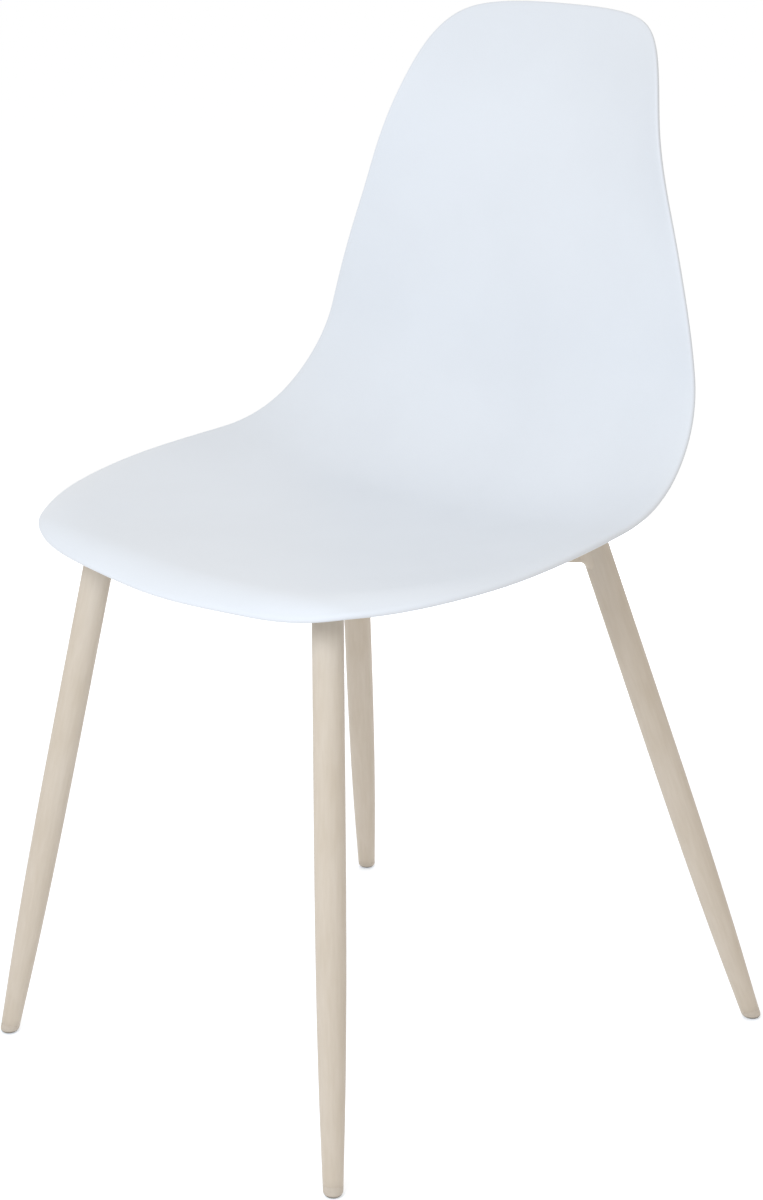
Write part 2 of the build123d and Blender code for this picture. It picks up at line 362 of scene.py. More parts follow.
def spine_at(distance):
    """Place and slope of the shell's centre line at distances along it."""
    y, z, slope = (np.empty_like(distance) for _ in range(3))
    start = 0.0
    begin_y, begin_z = LIP_START
    begin_slope = LIP_SLOPE
    for length, turn in SPINE_ARCS:
        bow = turn / length
        here = (distance >= start) | (start == 0)
        angle = np.append(begin_slope + bow * (distance[here] - start), begin_slope + turn)
        back = begin_y + (np.sin(angle) - math.sin(begin_slope)) / bow
        up = begin_z - (np.cos(angle) - math.cos(begin_slope)) / bow
        y[here], z[here], slope[here] = back[:-1], up[:-1], angle[:-1]
        begin_y, begin_z, begin_slope = back[-1], up[-1], angle[-1]
        start += length
    return y, z, slope


def smooth_curve(places, values, at, end_slope=None):
    """Values on a smooth curve through given values."""
    change = np.diff(values) / np.diff(places)
    middle = (values[2:] - values[:-2]) / (places[2:] - places[:-2])
    last = change[-1] if end_slope is None else end_slope
    slopes = np.concatenate([change[:1], middle, [last]])
    index = np.clip(np.searchsorted(places, at, side="right") - 1, 0, len(places) - 2)
    span = places[index + 1] - places[index]
    t = (at - places[index]) / span
    return (
        (2 * t**3 - 3 * t**2 + 1) * values[index]
        + (t**3 - 2 * t**2 + t) * span * slopes[index]
        + (3 * t**2 - 2 * t**3) * values[index + 1]
        + (t**3 - t**2) * span * slopes[index + 1]
    )


def section_bow(distance):
    """One over the section radius at distances along the centre line."""
    lip, seat, bend, back = np.cumsum([length for length, turn in SPINE_ARCS])
    back_places = (bend, bend + LUMBAR_HEIGHT, bend + SHOULDER_HEIGHT, back)
    places = np.array((0, lip, (lip + seat) / 2, seat, (seat + bend) / 2, *back_places))
    return smooth_curve(places, 1 / (np.array(SECTION_RADII) * MM), distance)


def section_point(x, distance, depth):
    """Place on the shell at a distance along it, x to the side and depth into its wall."""
    y, z, slope = spine_at(distance)
    bow = section_bow(distance)
    bow = np.where(np.abs(bow) < FLATTEST_BOW, FLATTEST_BOW, bow)
    radius = 1 / bow
    rise = radius - np.sign(radius) * np.sqrt((radius + depth) ** 2 - x**2)
    return np.stack([x, y - np.sin(slope) * rise, z + np.cos(slope) * rise], axis=-1)


def shell_point(outline, depth):
    """Places on the shell that lie over points of the leaning outline plane."""
    x = outline[..., 0]
    low = np.full(x.shape, -SEARCH_BEFORE)
    high = np.full(x.shape, sum(length for length, turn in SPINE_ARCS) + SEARCH_BEYOND)
    for _ in range(SEARCH_STEPS):
        middle = (low + high) / 2
        short = section_point(x, middle, depth) @ UPHILL < outline[..., 1]
        low = np.where(short, middle, low)
        high = np.where(short, high, middle)
    return section_point(x, (low + high) / 2, depth)


class Outline:
    """Closed smooth curve through the half outline and its mirror image."""

    def __init__(self):
        half = np.array(HALF_OUTLINE) * MM
        self.points = np.concatenate([half, half[-2:0:-1] * (-1, 1)])
        count = len(self.points)
        after = np.roll(self.points, -1, axis=0)
        self.steps = np.linalg.norm(after - self.points, axis=1)
        self.knots = np.concatenate([[0], np.cumsum(self.steps)])
        matrix = np.zeros((count, count))
        change = (after - self.points) / self.steps[:, None]
        for i in range(count):
            matrix[i, i - 1] += self.steps[i - 1]
            matrix[i, i] += 2 * (self.steps[i - 1] + self.steps[i])
            matrix[i, (i + 1) % count] += self.steps[i]
        self.bends = np.linalg.solve(matrix, 6 * (change - np.roll(change, 1, axis=0)))

    def at(self, t):
        """Points of the curve."""
        t = np.mod(t, self.knots[-1])
        i = np.clip(np.searchsorted(self.knots, t, side="right") - 1, 0, len(self.points) - 1)
        j = (i + 1) % len(self.points)
        step = self.steps[i][:, None]
        b = ((t - self.knots[i]) / self.steps[i])[:, None]
        a = 1 - b
        line = a * self.points[i] + b * self.points[j]
        return line + ((a**3 - a) * self.bends[i] + (b**3 - b) * self.bends[j]) * step**2 / 6

    def even(self, start, end, count):
        """Points at even distances between two places of the curve."""
        fine = np.linspace(start, end, OUTLINE_STEPS)
        points = self.at(fine)
        run = np.concatenate([[0], np.cumsum(np.linalg.norm(np.diff(points, axis=0), axis=1))])
        return self.at(np.interp(np.linspace(0, run[-1], count + 1), run, fine))

    def loop(self, columns, rows):
        """Points round the edge of a grid, from the right front corner."""
        whole = self.knots[-1]
        front, back = self.knots[FRONT_CORNER], self.knots[BACK_CORNER]
        corners = (whole - front, whole + front, whole + back, 2 * whole - back, 2 * whole - front)
        counts = (columns, rows, columns, rows)
        sides = [self.even(*side)[:-1] for side in zip(corners, corners[1:], counts)]
        return np.concatenate(sides)


def grid_inside(loop, columns, rows):
    """Grid of points that fills a loop, which starts at one corner of the grid."""
    closed = np.concatenate([loop, loop[:1]])
    front = closed[: columns + 1]
    left = closed[columns : columns + rows + 1]
    back = closed[columns + rows : 2 * columns + rows + 1][::-1]
    right = closed[2 * columns + rows :][::-1]
    a = np.linspace(0, 1, columns + 1)[None, :, None]
    b = np.linspace(0, 1, rows + 1)[:, None, None]
    ends = (1 - b) * front[None] + b * back[None]
    sides = (1 - a) * right[:, None] + a * left[:, None]
    front_corners = (1 - a) * front[0] + a * front[-1]
    back_corners = (1 - a) * back[0] + a * back[-1]
    return ends + sides - (1 - b) * front_corners - b * back_corners


def inward(loop):
    """Unit vectors that point from a loop to its inside."""
    along = np.roll(loop, -1, axis=0) - np.roll(loop, 1, axis=0)
    across = np.stack([-along[:, 1], along[:, 0]], axis=1)
    return across / np.linalg.norm(across, axis=1)[:, None]


def nearest_edge(points, loop):
    """Distance of a row of points from a loop, and the height of the nearest place on the loop."""
    along = np.roll(loop, -1, axis=0) - loop
    apart = points[:, None] - loop
    share = np.clip((apart * along).sum(axis=2) / (along**2).sum(axis=1), 0, 1)
    away = np.linalg.norm(apart - share[:, :, None] * along, axis=2)
    nearest = away.argmin(axis=1)
    row = np.arange(len(points))
    height = loop[nearest, 1] + share[row, nearest] * along[nearest, 1]
    return away[row, nearest], height


def edge_roll(height):
    """Width, drop, lift and growth of the shell's edge at heights of the edge."""
    heights, *columns = np.array(EDGE_ROLL).T * MM
    return [smooth_curve(heights, column, height) for column in columns]


def edge_sink(points, loop, side=1):
    """How far a row of points sinks where the shell's edge rolls over; side is -1 outside the loop."""
    away, height = nearest_edge(points, loop)
    away = away * side
    width, drop, lift, _ = edge_roll(height)
    fall = drop * np.clip(1 - away / width, 0, None) ** 2
    return fall - lift * np.exp(-((away / CREST_REACH) ** 2))


def rolled(points, sink):
    """Shell points moved back by how far each one sinks."""
    return points - sink[..., None] * FACING


def new_object(name, data):
    """Object that is linked to the scene."""
    made = bpy.data.objects.new(name, data)
    bpy.context.scene.collection.objects.link(made)
    return made


def new_piece(mesh, slot, *nodes):
    """Makes a finished mesh a piece of its name on the chair, in place of the given CAD nodes."""
    piece = new_object(mesh.name, mesh)
    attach(piece, BODY)
    if nodes:
        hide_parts(*nodes)


def mesh_from(name, forms, material):
    """Closed mesh of forms, each with points and faces, turned outwards and shaded smooth."""
    mesh = bpy.data.meshes.new(name)
    shape = bmesh.new()
    for points, faces in forms:
        corners = [shape.verts.new(point) for point in points]
        for face in faces:
            shape.faces.new([corners[i] for i in face])
    bmesh.ops.remove_doubles(shape, verts=shape.verts, dist=MERGE_DISTANCE)
    bmesh.ops.recalc_face_normals(shape, faces=shape.faces)
    for face in shape.faces:
        face.smooth = True
    shape.to_mesh(mesh)
    shape.free()
    mesh.materials.append(material)
    return mesh


def coat(nodes, material):
    """Gives CAD nodes a material."""
    for name in nodes:
        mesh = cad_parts[name].data
        mesh.materials.clear()
        mesh.materials.append(material)


def moulded_plastic(name, colour, tone=0.03, gloss=0.36):
    """Satin moulded plastic with the fine spark texture of its mould and slow flow marks."""
    finish = Finish(name)
    place = finish.place()
    flow = finish.noise(place, scale=7.0, detail=3.0)
    grain = finish.noise(place, scale=900.0)
    pits = finish.noise(place, scale=340.0, detail=3.0, roughness=0.6)
    body = finish.mix(finish.span(flow, 0.35, 0.65), shade(colour, 1 - tone), shade(colour))
    rough = gloss + (pits - 0.5) * 0.10 + (flow - 0.5) * 0.06
    relief = finish.bump(grain * 0.6 + pits * 0.4, strength=0.10, depth=0.6 * MM)
    return finish.surface(body, rough, relief, {"Specular IOR Level": 0.42})


def wood_coating(name, settings, turn=None):
    """Printed pale wood coating with a satin lacquer; its grain follows the tube, or the given turn."""
    finish = Finish(name)
    if turn is None:
        place = finish.node("ShaderNodeAttribute", output="Vector", attribute_name=TUBE_PLACE)
    else:
        place = finish.stretched(finish.place(), 1, turn)
    streaks = finish.noise(finish.stretched(place, 14), scale=420.0, detail=4.0, roughness=0.6)
    bands = finish.noise(finish.stretched(place, 4), scale=70.0, detail=3.0, roughness=0.55)
    pores = finish.noise(finish.stretched(place, 20), scale=1100.0, roughness=0.7)
    grain = finish.span(streaks * 0.4 + bands * 0.6, 0.34, 0.68)
    body = finish.mix(grain * 0.5 + 0.05, shade(settings.coating), shade(settings.grain))
    body = finish.mix(finish.span(pores, 0.62, 0.80) * 0.12, body, shade(settings.grain, 0.85))
    rough = 0.46 + (streaks - 0.5) * 0.12
    relief = finish.bump(streaks * 0.7 + pores * 0.3, strength=0.06, depth=0.3 * MM)
    return finish.surface(body, rough, relief, {"Specular IOR Level": 0.4})


def plug_plastic(name, colour):
    """Matt plug plastic, darkened near the floor with scuffed dirt and a painted contact shadow."""
    finish = Finish(name)
    place = finish.place()
    height = finish.node("ShaderNodeSeparateXYZ", {"Vector": place}, "Z")
    speckle = finish.noise(place, scale=520.0, detail=3.0, roughness=0.6)
    scuff = finish.noise(finish.stretched(place, 0.3), scale=260.0, detail=4.0, roughness=0.7)
    # Mask of the dirt and the painted contact shadow, strongest at the floor and varied by the scuffs
    near_floor = finish.span(height, DIRT_AND_SHADE_LOW, DIRT_AND_SHADE_HIGH, 1.0, 0.0)
    dirt_and_shade = near_floor * finish.span(scuff, 0.30, 0.60, 0.7, 1.0)
    body = finish.mix(finish.span(speckle, 0.35, 0.65), shade(colour, 0.94), shade(colour))
    # Painted contact shadow with dirt: near the floor the plastic darkens to a quarter of its colour
    body = finish.mix(dirt_and_shade * 0.9, body, shade(colour, 0.25))
    rough = 0.58 + (speckle - 0.5) * 0.2 + dirt_and_shade * 0.12
    relief = finish.bump(speckle, strength=0.2, depth=0.4 * MM)
    return finish.surface(body, rough, relief)


def turned_metal(name, colour, dull, gloss):
    """Plated or turned metal with fine marks round it and duller patches."""
    finish = Finish(name)
    place = finish.place()
    marks = finish.noise(finish.stretched(place, 0.05), scale=420.0, detail=3.0, roughness=0.6)
    patches = finish.noise(place, scale=160.0, detail=3.0)
    tint = finish.mix(finish.span(patches, 0.35, 0.7), shade(colour), shade(dull))
    rough = gloss + (marks - 0.5) * 0.22 + (patches - 0.5) * 0.12
    relief = finish.bump(marks, strength=0.08, depth=0.3 * MM)
    return finish.surface(tint, rough, relief, {"Metallic": 1.0})


class GeometryTree(Graph):
    """A geometry node tree with named inputs, the last of which is its material."""

    def __init__(self, name, inputs):
        super().__init__(bpy.data.node_groups.new(name, "GeometryNodeTree"))
        face = self.tree.interface
        face.new_socket("Geometry", in_out="INPUT", socket_type="NodeSocketGeometry")
        face.new_socket("Geometry", in_out="OUTPUT", socket_type="NodeSocketGeometry")
        self.names = {}
        for label, kind in {**inputs, "Material": "Material"}.items():
            item = face.new_socket(label, in_out="INPUT", socket_type=f"NodeSocket{kind}")
            self.names[label] = item.identifier
        self.inputs = self.tree.nodes.new("NodeGroupInput")

    def input(self, label):
        return Socket(self, self.inputs.outputs[label])

    def finish(self, geometry):
        """Ends the tree with plain, smooth, coated geometry."""
        plain = self.node("GeometryNodeRealizeInstances", {"Geometry": geometry})
        smooth = self.node("GeometryNodeSetShadeSmooth", {"Geometry": plain})
        sockets = {"Geometry": smooth, "Material": self.input("Material")}
        coated = self.node("GeometryNodeSetMaterial", sockets)
        self.node("NodeGroupOutput", {0: coated})

    def run(self, name, base, values):
        """Plain mesh that the tree makes from a base mesh and input values."""
        source = new_object(f"{name}_base", base)
        modifier = source.modifiers.new("make", "NODES")
        modifier.node_group = self.tree
        for label, value in values.items():
            modifier[self.names[label]] = value
        bpy.context.view_layer.update()
        ready = source.evaluated_get(bpy.context.evaluated_depsgraph_get())
        mesh = bpy.data.meshes.new_from_object(ready)
        mesh.name = name
        source.modifiers.remove(modifier)
        bpy.data.objects.remove(source)
        return mesh


def line_mesh(name, points, edges=()):
    """Mesh of points and of edges between them."""
    mesh = bpy.data.meshes.new(name)
    mesh.from_pydata(points, edges, [])
    return mesh


def turned_tree():
    """Tree that turns a profile round an axis and sets it on its foot."""
    tree = GeometryTree("turned_tube", {"Foot": "Vector", "Axis": "Vector", "Steps": "Int"})
    profile = tree.node("GeometryNodeMeshToCurve", {"Mesh": tree.input("Geometry")})
    sockets = {"Resolution": tree.input("Steps"), "Radius": TURNING_RADIUS}
    circle = tree.node("GeometryNodeCurvePrimitiveCircle", sockets)
    tube = tree.node("GeometryNodeCurveToMesh", {"Curve": circle, "Profile Curve": profile})
    place = tree.node("GeometryNodeInputPosition")
    sockets = {"Geometry": tube, "Name": TUBE_PLACE, "Value": place}
    marked = tree.node("GeometryNodeStoreNamedAttribute", sockets, data_type="FLOAT_VECTOR", domain="POINT")
    turn = tree.node("FunctionNodeAlignRotationToVector", {"Vector": tree.input("Axis")}, axis="Z")
    sockets = {"Geometry": marked, "Translation": tree.input("Foot"), "Rotation": turn}
    tree.finish(tree.node("GeometryNodeTransform", sockets))
    return tree


def set_out_tree():
    """Tree that sets one part on every point of its base mesh."""
    tree = GeometryTree("set_out", {"Part": "Object"})
    part = tree.node("GeometryNodeObjectInfo", {"Object": tree.input("Part")}, "Geometry")
    sockets = {"Points": tree.input("Geometry"), "Instance": part}
    tree.finish(tree.node("GeometryNodeInstanceOnPoints", sockets))
    return tree


def bead_tree():
    """Tree that lays a rippled weld bead along a line."""
    tree = GeometryTree("weld_bead", {"Width": "Float", "Pitch": "Float"})
    path = tree.node("GeometryNodeMeshToCurve", {"Mesh": tree.input("Geometry")})
    fine = tree.node("GeometryNodeResampleCurve", {"Curve": path, "Count": BEAD_POINTS}, mode="COUNT")
    along = tree.node("GeometryNodeSplineParameter", output="Length")
    share = tree.node("GeometryNodeSplineParameter", output="Factor")
    ripple = tree.math("ABSOLUTE", tree.math("SINE", along / tree.input("Pitch") * math.pi))
    ends = tree.math("SQRT", share * (1 - share) * 4 + 0.02)
    swell = (1 - RIPPLE_DEPTH + ripple * RIPPLE_DEPTH) * tree.math("MINIMUM", ends * 1.6, 1.0)
    sockets = {"Resolution": BEAD_SIDES, "Radius": tree.input("Width") * 0.5}
    circle = tree.node("GeometryNodeCurvePrimitiveCircle", sockets)
    sockets = {"Curve": fine, "Profile Curve": circle, "Scale": swell, "Fill Caps": True}
    tree.finish(tree.node("GeometryNodeCurveToMesh", sockets))
    return tree


def leg_axis(leg):
    """Foot of a leg, and the direction up it."""
    end, side = leg.split("_")
    sign = 1 if side == "left" else -1
    foot, knee = (FRONT_FOOT, FRONT_KNEE) if end == "front" else (REAR_FOOT, REAR_KNEE)
    bottom = Vector((sign * foot[0], foot[1], 0))
    top = Vector((sign * knee[0], knee[1], RAIL_MIDDLE))
    return bottom, (top - bottom).normalized()


def leg_length(leg):
    """Length of a leg's tube, up to the top end of its CAD node."""
    foot, axis = leg_axis(leg)
    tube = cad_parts[f"{leg}_leg"].data
    return max((vertex.co - foot).dot(axis) for vertex in tube.vertices)


def leg_radius(settings, height):
    """Outside radius at heights up a leg, on a smooth curve through the drops of its taper."""
    foot_drop = settings.leg_diameter - settings.foot_diameter
    heights, drops = np.array([(0, foot_drop / MM), *LEG_TAPER]).T * MM
    drop = smooth_curve(heights, drops, np.minimum(height, heights[-1]), end_slope=0.0)
    return (settings.leg_diameter - drop) / 2


def rail_end(leg):
    """Point where the middle lines of a rail and its leg meet."""
    foot, axis = leg_axis(leg)
    return foot + axis * (RAIL_MIDDLE / axis.z)


def crossing():
    """Point where the rails cross, at the middle of their height."""
    start, end = rail_end("front_right"), rail_end("rear_left")
    return start + (end - start) * (-start.x / (end.x - start.x))


def rail_way(leg):
    """Direction from the crossing along a rail to a leg."""
    return (rail_end(leg) - crossing()).normalized()


def screw_points(z):
    """Places of the four screws at a height."""
    points = [crossing() + rail_way(leg) * SCREW_REACH for leg in LEGS]
    return [(point.x, point.y, z) for point in points]


def ring(radius, z, steps, sides=0):
    """Ring of points, round or with flat sides of the given half width across."""
    points = []
    for i in range(steps):
        angle = math.tau * i / steps
        reach = radius
        if sides:
            part = math.tau / sides
            reach = radius / math.cos((angle + part / 2) % part - part / 2)
        points.append((reach * math.cos(angle), reach * math.sin(angle), z))
    return points


def stacked(rings, ends="capped"):
    """Points and faces of a form through rings, whose ends are capped, joined or open."""
    steps = len(rings[0])
    points = [point for one in rings for point in one]
    faces = []
    if ends == "capped":
        faces = [list(range(steps))[::-1], [len(points) - steps + i for i in range(steps)]]
    for row in range(len(rings) if ends == "joined" else len(rings) - 1):
        low = row * steps
        high = (row + 1) % len(rings) * steps
        for i in range(steps):
            j = (i + 1) % steps
            faces.append([low + i, low + j, high + j, high + i])
    return points, faces


def grid_faces(columns, rows):
    """Faces of a grid of points."""
    across = columns + 1
    firsts = [row * across + column for row in range(rows) for column in range(columns)]
    return [(first, first + 1, first + across + 1, first + across) for first in firsts]


def shifted(form, x, y):
    """A form moved sideways."""
    points, faces = form
    return [(point[0] + x, point[1] + y, point[2]) for point in points], faces


class CHAIR_OT_stage(bpy.types.Operator):
    """Sets the floor, the lamps, the room light and the camera"""

    bl_idname = "chair.stage"
    bl_label = "Stage"

    def execute(self, context):
        settings = context.scene.chair_stage
        self.make_floor(settings)
        self.make_room(context.scene, settings)
        self.make_lamp("key_lamp", KEY_PLACE, settings.key, settings.lamp_size)
        self.make_lamp("back_lamp", BACK_PLACE, settings.back, settings.lamp_size)
        camera = bpy.data.cameras.new("photo_camera")
        camera.sensor_width = SENSOR_WIDTH
        camera.lens = settings.lens
        stand = new_object("photo_camera", camera)
        stand.location = CAMERA_PLACE
        stand.rotation_euler = (math.pi / 2 - CAMERA_DIP, 0, CAMERA_TURN)
        context.scene.camera = stand
        context.scene.view_settings.view_transform = "Standard"
        return {"FINISHED"}

    def seen_directly(self, graph):
        """One where a surface is seen by the camera, in a mirror or through glass."""
        names = ("Is Camera Ray", "Is Glossy Ray", "Is Transmission Ray")
        camera, glossy, glass = (graph.node("ShaderNodeLightPath", output=name) for name in names)
        return graph.math("MINIMUM", camera + glossy + glass, 1.0)

    def make_floor(self, settings):
        mesh = bpy.data.meshes.new("floor")
        shape = bmesh.new()
        bmesh.ops.create_circle(shape, cap_ends=True, segments=96, radius=FLOOR_RADIUS)
        shape.to_mesh(mesh)
        shape.free()
        finish = Finish("floor")
        missing = [1 - light * tone for light, tone in zip(settings.room, settings.floor)]
        sockets = {"Color": shade(missing), "Strength": self.seen_directly(finish)}
        glow = finish.node("ShaderNodeEmission", sockets)
        matt = finish.node("ShaderNodeBsdfDiffuse", {"Color": shade(settings.floor)})
        both = finish.node("ShaderNodeAddShader", {0: matt, 1: glow})
        finish.node("ShaderNodeOutputMaterial", {"Surface": both})
        mesh.materials.append(finish.material)
        new_object("floor", mesh)

    def make_room(self, scene, settings):
        world = bpy.data.worlds.new("room")
        world.use_nodes = True
        world.node_tree.nodes.clear()
        graph = Graph(world.node_tree)
        colour = graph.mix(self.seen_directly(graph), shade(settings.room), (1, 1, 1, 1))
        light = graph.node("ShaderNodeBackground", {"Color": colour, "Strength": 1.0})
        graph.node("ShaderNodeOutputWorld", {"Surface": light})
        scene.world = world

    def make_lamp(self, name, place, colour, size):
        """Round softbox: a white surface that faces it at the seat gets the lamp's own colour."""
        lamp = bpy.data.lights.new(name, "AREA")
        lamp.shape = "DISK"
        lamp.size = size
        away = Vector(place) - Vector(SEAT_MIDDLE)
        lamp.energy = math.pi**2 * away.length_squared
        lamp.color = colour
        stand = new_object(name, lamp)
        stand.location = place
        stand.rotation_euler = away.to_track_quat("Z", "Y").to_euler()
        stand.visible_camera = False
        stand.visible_glossy = False


class CHAIR_OT_seat_shell(bpy.types.Operator):
    """Builds the double-curved seat shell with its rolled edge and rounded rim"""

    bl_idname = "chair.seat_shell"
    bl_label = "Seat Shell"

    def execute(self, context):
        settings = context.scene.chair_shell
        columns, rows, wall = settings.columns, settings.rows, settings.wall
        edge = Outline().loop(columns, rows)
        *_, growth = edge_roll(edge[:, 1])
        edge = edge - inward(edge) * growth[:, None]
        into = inward(edge) * settings.rim_inset
        inside = grid_inside(edge + into, columns, rows)
        sink = np.array([edge_sink(row, edge) for row in inside])
        forms = []
        for depth in (0.0, wall):
            points = rolled(shell_point(inside, depth), sink).reshape(-1, 3)
            forms.append((points, grid_faces(columns, rows)))
        forms.append(stacked(self.rim_rings(edge, into, wall), "open"))
        material = moulded_plastic("shell_plastic", settings.colour)
        mesh = mesh_from("seat_shell_moulding", forms, material)
        new_piece(mesh, "shell_plastic", "seat_shell")
        return {"FINISHED"}

    def rim_rings(self, edge, into, wall):
        """Rings of the rounded rim, on a curve that just reaches the edge, from face to face."""
        inner, outer = (edge + into, 1), (edge - into / 3, -1)
        corners = []
        for (loop, side), depth in ((inner, 0.0), (outer, 0.0), (outer, wall), (inner, wall)):
            corners.append(rolled(shell_point(loop, depth), edge_sink(loop, edge, side)))
        rings = []
        for t in np.linspace(0, 1, RIM_ROWS + 1):
            weights = ((1 - t) ** 3, 3 * t * (1 - t) ** 2, 3 * t**2 * (1 - t), t**3)
            rings.append(sum(weight * corner for weight, corner in zip(weights, corners)))
        return rings


class CHAIR_OT_bosses(bpy.types.Operator):
    """Moulds the four bosses with their gussets under the seat"""

    bl_idname = "chair.bosses"
    bl_label = "Shell Bosses"

    def execute(self, context):
        settings = context.scene.chair_shell
        forms = []
        for x, y, z in screw_points(RAIL_TOP):
            top = self.middle_of_wall(x, y, settings.wall)
            boss = stacked([ring(*place, BOSS_SIDES) for place in self.profile(settings, z, top)])
            gussets = [self.gusset(settings, z, top, angle) for angle in GUSSET_ANGLES]
            forms += [shifted(form, x, y) for form in (boss, *gussets)]
        mesh = mesh_from("shell_bosses", forms, bpy.data.materials["shell_plastic"])
        new_piece(mesh, "shell_plastic", "seat_shell")
        return {"FINISHED"}

    def middle_of_wall(self, x, y, wall):
        """Height of the middle of the shell's wall over a point of the seat."""
        distance = np.linspace(*SEAT_STRETCH, SEAT_STEPS)
        place = section_point(np.full_like(distance, x), distance, wall / 2)
        return float(np.interp(y, place[:, 1], place[:, 2]))

    def profile(self, settings, low, top):
        """Radius and height of a boss's rings, from its bore round its foot and up into the shell."""
        radius = settings.boss_diameter / 2
        bore, mouth = radius * 0.54, radius * 0.56
        bevel, flare = 0.6 * MM, 2.0 * MM
        return (
            (bore, low + bevel),
            (mouth, low),
            (radius - bevel, low),
            (radius, low + bevel),
            (radius, top - 4.5 * MM),
            (radius + 0.6 * MM, top - 3.2 * MM),
            (radius + flare, top - flare),
            (radius + flare, top),
        )

    def gusset(self, settings, low, top, degrees):
        """Thin tapering rib from a boss out to the shell."""
        angle = math.radians(degrees)
        radius = settings.boss_diameter / 2
        root = radius * 0.6
        foot = low + settings.gusset_rise
        side = (
            (root, foot),
            (radius + 0.3 * MM, foot),
            (settings.gusset_reach, top - settings.wall),
            (settings.gusset_reach, top),
            (root, top),
        )
        ahead = Vector((math.cos(angle), math.sin(angle), 0))
        across = UP.cross(ahead) * (settings.gusset_thickness / 2)
        return stacked([[ahead * out + UP * z + across * sign for out, z in side] for sign in (-1, 1)])


class CHAIR_OT_legs(bpy.types.Operator):
    """Turns the four tapered leg tubes"""

    bl_idname = "chair.legs"
    bl_label = "Legs"

    def execute(self, context):
        settings = context.scene.chair_frame
        material = wood_coating("leg_coating", settings)
        tree = turned_tree()
        for leg in LEGS:
            foot, axis = leg_axis(leg)
            points = self.profile(settings, leg_length(leg))
            count = len(points)
            base = line_mesh(leg, points, [(i, (i + 1) % count) for i in range(count)])
            values = {"Foot": foot, "Axis": axis, "Steps": LEG_SIDES, "Material": material}
            mesh = tree.run(f"{leg}_leg_tube", base, values)
            new_piece(mesh, "frame_coating", f"{leg}_leg")
        return {"FINISHED"}

    def profile(self, settings, length):
        """Closed outline of the tube's wall, with softened ends, for turning."""
        soft = END_SOFTENING
        taper_end = LEG_TAPER[-1][0] * MM
        taper = np.linspace(settings.glide_height + soft, taper_end, TAPER_RINGS)
        heights = np.concatenate([taper, [STRAIGHT_RING, length - soft]])
        outer = leg_radius(settings, heights)
        inner = outer - settings.leg_wall
        bottom, top = settings.glide_height, length
        outline = [(outer[0] - soft, bottom), *zip(outer, heights), (outer[-1] - soft, top)]
        outline += [(inner[-1] + soft, top), *zip(inner[::-1], heights[::-1]), (inner[0] + soft, bottom)]
        return [(radius - TURNING_RADIUS, -height, 0) for radius, height in outline]


